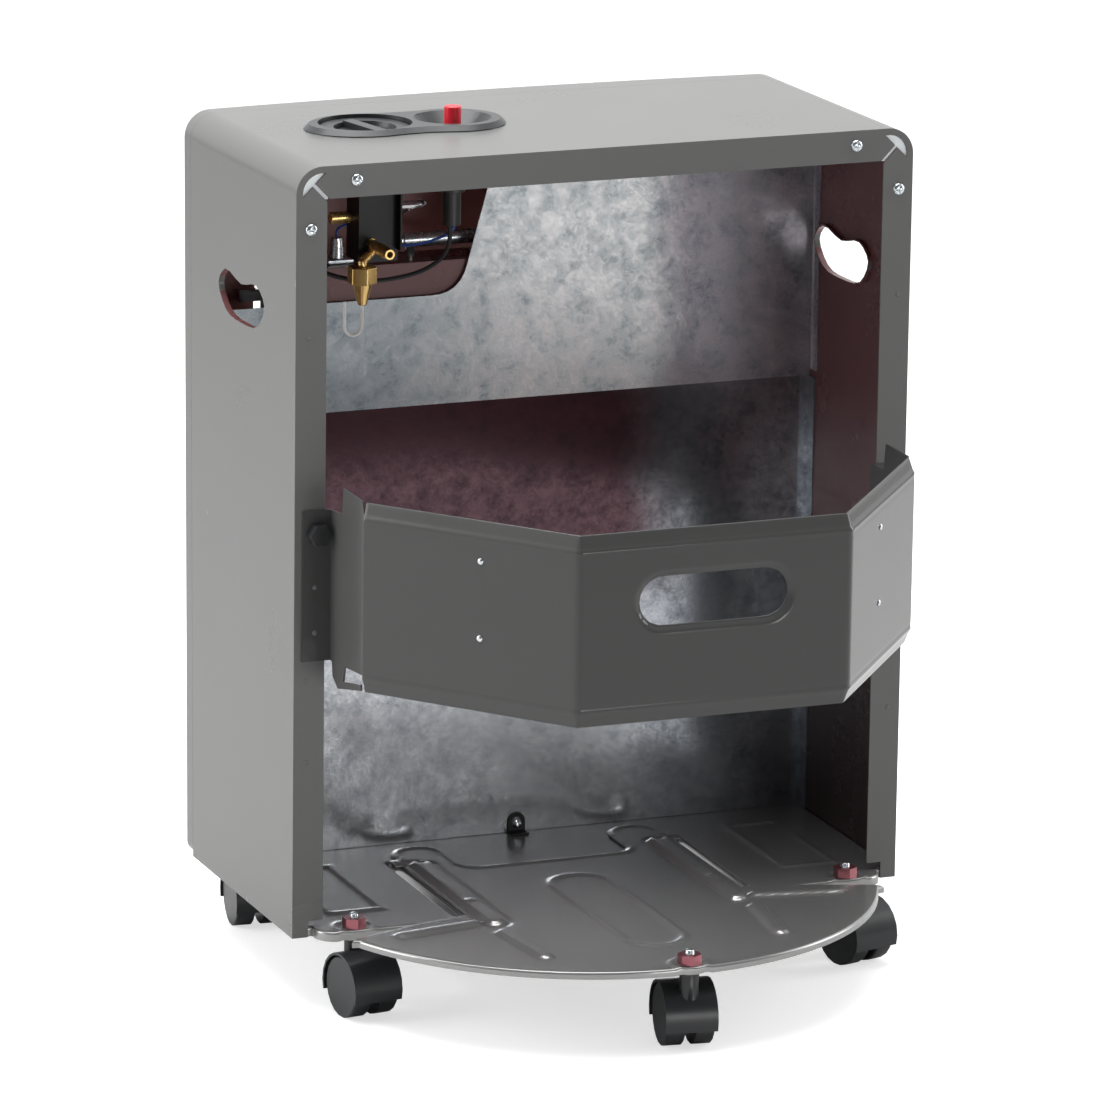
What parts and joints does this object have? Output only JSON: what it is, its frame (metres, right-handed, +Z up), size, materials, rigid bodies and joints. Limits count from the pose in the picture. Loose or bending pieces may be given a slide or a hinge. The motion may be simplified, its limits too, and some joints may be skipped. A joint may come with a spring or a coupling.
{
  "type": "portable gas cabinet heater",
  "caption": "Upright wheeled cabinet heater with an open gas-bottle bay behind, guard belt, slide-out bottle tray, burner behind a wire guard, push-and-turn knob and spark button.",
  "frame": {"origin": "on the floor, under the centre of the bounding box", "axes": "+Z up; -Y towards the front with the burner; +Y towards the open back; +X towards the side with the knob"},
  "size_m": [0.5312, 0.5168, 0.7056],
  "materials": {
    "cabinet_paint": "satin grey powder coat",
    "galvanised_steel": "spangled zinc, glossy",
    "brass": "turned, semi-bright",
    "bright_plating": "bright",
    "zinc_plating": "bright zinc",
    "black_paint": "matt black",
    "ceramic": "matt, porous",
    "grey_plastic": "satin",
    "red_plastic": "glossy",
    "black_plastic": "satin",
    "castor_wheel_plastic": "satin",
    "blue_insulation": "smooth",
    "black_insulation": "smooth",
    "white_wire": "smooth coating"
  },
  "bodies": {
    "cabinet": {"base_catch": "black_paint", "base_plate": "cabinet_paint", "belt": "cabinet_paint", "belt_bracket_left": "cabinet_paint", "belt_bracket_right": "cabinet_paint", "burner_housing": "galvanised_steel", "burner_plaque_1": "ceramic", "burner_plaque_2": "ceramic", "burner_plaque_3": "ceramic", "cabinet_shell": "cabinet_paint", "castor_front_left_nut": "zinc_plating", "castor_front_left_stem": "zinc_plating", "castor_front_right_nut": "zinc_plating", "castor_front_right_stem": "zinc_plating", "castor_rear_left_nut": "zinc_plating", "castor_rear_left_stem": "zinc_plating", "castor_rear_right_nut": "zinc_plating", "castor_rear_right_stem": "zinc_plating", "catch_screw": "zinc_plating", "control_bezel": "grey_plastic", "corner_piece_left": "galvanised_steel", "corner_piece_right": "galvanised_steel", "front_guard": "bright_plating", "front_panel": "cabinet_paint", "gas_manifold": "galvanised_steel", "gas_pipe": "bright_plating", "gas_valve": "brass", "ground_lead": "black_insulation", "hose_nozzle": "brass", "igniter_body": "black_plastic", "igniter_lead": "blue_insulation", "partition_lower": "galvanised_steel", "partition_upper": "galvanised_steel", "pilot_burner": "galvanised_steel", "rear_screw_side_left": "zinc_plating", "rear_screw_side_right": "zinc_plating", "rear_screw_top_left": "zinc_plating", "rear_screw_top_right": "zinc_plating", "thumb_screw_left": "black_plastic", "thumb_screw_right": "black_plastic", "union_nut": "brass", "valve_bracket": "black_paint", "wire_hook": "white_wire"},
    "tray": {"rear_tray": "cabinet_paint", "castor_tray_stem": "zinc_plating", "castor_tray_nut": "zinc_plating"},
    "castor_rear_left_swivel": {"castor_rear_left_hood": "black_plastic"},
    "castor_rear_left_wheel_pair": {"castor_rear_left_wheels": "castor_wheel_plastic"},
    "castor_rear_right_swivel": {"castor_rear_right_hood": "black_plastic"},
    "castor_rear_right_wheel_pair": {"castor_rear_right_wheels": "castor_wheel_plastic"},
    "castor_front_left_swivel": {"castor_front_left_hood": "black_plastic"},
    "castor_front_left_wheel_pair": {"castor_front_left_wheels": "castor_wheel_plastic"},
    "castor_front_right_swivel": {"castor_front_right_hood": "black_plastic"},
    "castor_front_right_wheel_pair": {"castor_front_right_wheels": "castor_wheel_plastic"},
    "castor_tray_swivel": {"castor_tray_hood": "black_plastic"},
    "castor_tray_wheel_pair": {"castor_tray_wheels": "castor_wheel_plastic"},
    "valve_plunger": {"push_sleeve": "brass"},
    "knob": {"valve_spindle": "brass", "control_knob": "grey_plastic"},
    "button": {"ignition_button": "red_plastic"}
  },
  "joints": [
    {"name": "tray_slide", "type": "slide", "parent": "cabinet", "child": "tray", "axis": [0, 1, 0], "range_m": [0, 0.138]},
    {"name": "castor_rear_left_turn", "type": "hinge", "parent": "cabinet", "child": "castor_rear_left_swivel", "pos_m": [0.216, 0.03338, 0.055], "axis": [0, 0, 1], "continuous": true},
    {"name": "castor_rear_left_roll", "type": "hinge", "parent": "castor_rear_left_swivel", "child": "castor_rear_left_wheel_pair", "pos_m": [0.21391, 0.04823, 0.025], "axis": [-0.9903, -0.1392, 0], "continuous": true},
    {"name": "castor_rear_right_turn", "type": "hinge", "parent": "cabinet", "child": "castor_rear_right_swivel", "pos_m": [-0.216, 0.03338, 0.055], "axis": [0, 0, 1], "continuous": true},
    {"name": "castor_rear_right_roll", "type": "hinge", "parent": "castor_rear_right_swivel", "child": "castor_rear_right_wheel_pair", "pos_m": [-0.22013, 0.04779, 0.025], "axis": [-0.9613, -0.2756, 0], "continuous": true},
    {"name": "castor_front_left_turn", "type": "hinge", "parent": "cabinet", "child": "castor_front_left_swivel", "pos_m": [0.216, -0.19812, 0.055], "axis": [0, 0, 1], "continuous": true},
    {"name": "castor_front_left_roll", "type": "hinge", "parent": "castor_front_left_swivel", "child": "castor_front_left_wheel_pair", "pos_m": [0.21469, -0.21307, 0.025], "axis": [0.9962, -0.0872, 0], "continuous": true},
    {"name": "castor_front_right_turn", "type": "hinge", "parent": "cabinet", "child": "castor_front_right_swivel", "pos_m": [-0.216, -0.19812, 0.055], "axis": [0, 0, 1], "continuous": true},
    {"name": "castor_front_right_roll", "type": "hinge", "parent": "castor_front_right_swivel", "child": "castor_front_right_wheel_pair", "pos_m": [-0.21548, -0.21311, 0.025], "axis": [0.9994, 0.0349, 0], "continuous": true},
    {"name": "castor_tray_turn", "type": "hinge", "parent": "tray", "child": "castor_tray_swivel", "pos_m": [0, 0.21888, 0.055], "axis": [0, 0, 1], "continuous": true},
    {"name": "castor_tray_roll", "type": "hinge", "parent": "castor_tray_swivel", "child": "castor_tray_wheel_pair", "pos_m": [-0.00209, 0.20402, 0.025], "axis": [0.9903, -0.1392, 0], "continuous": true},
    {"name": "knob_push", "type": "slide", "parent": "cabinet", "child": "valve_plunger", "axis": [0, 0, -1], "range_m": [0, 0.004], "stiffness_N_per_m": 1500, "springref_m": -0.002},
    {"name": "knob_turn", "type": "hinge", "parent": "valve_plunger", "child": "knob", "pos_m": [0.154, -0.12312, 0.69], "axis": [0, 0, 1], "range_deg": [0, 180]},
    {"name": "button_press", "type": "slide", "parent": "cabinet", "child": "button", "axis": [0, 0, -1], "range_m": [0, 0.006], "stiffness_N_per_m": 1500, "springref_m": -0.001}
  ]
}
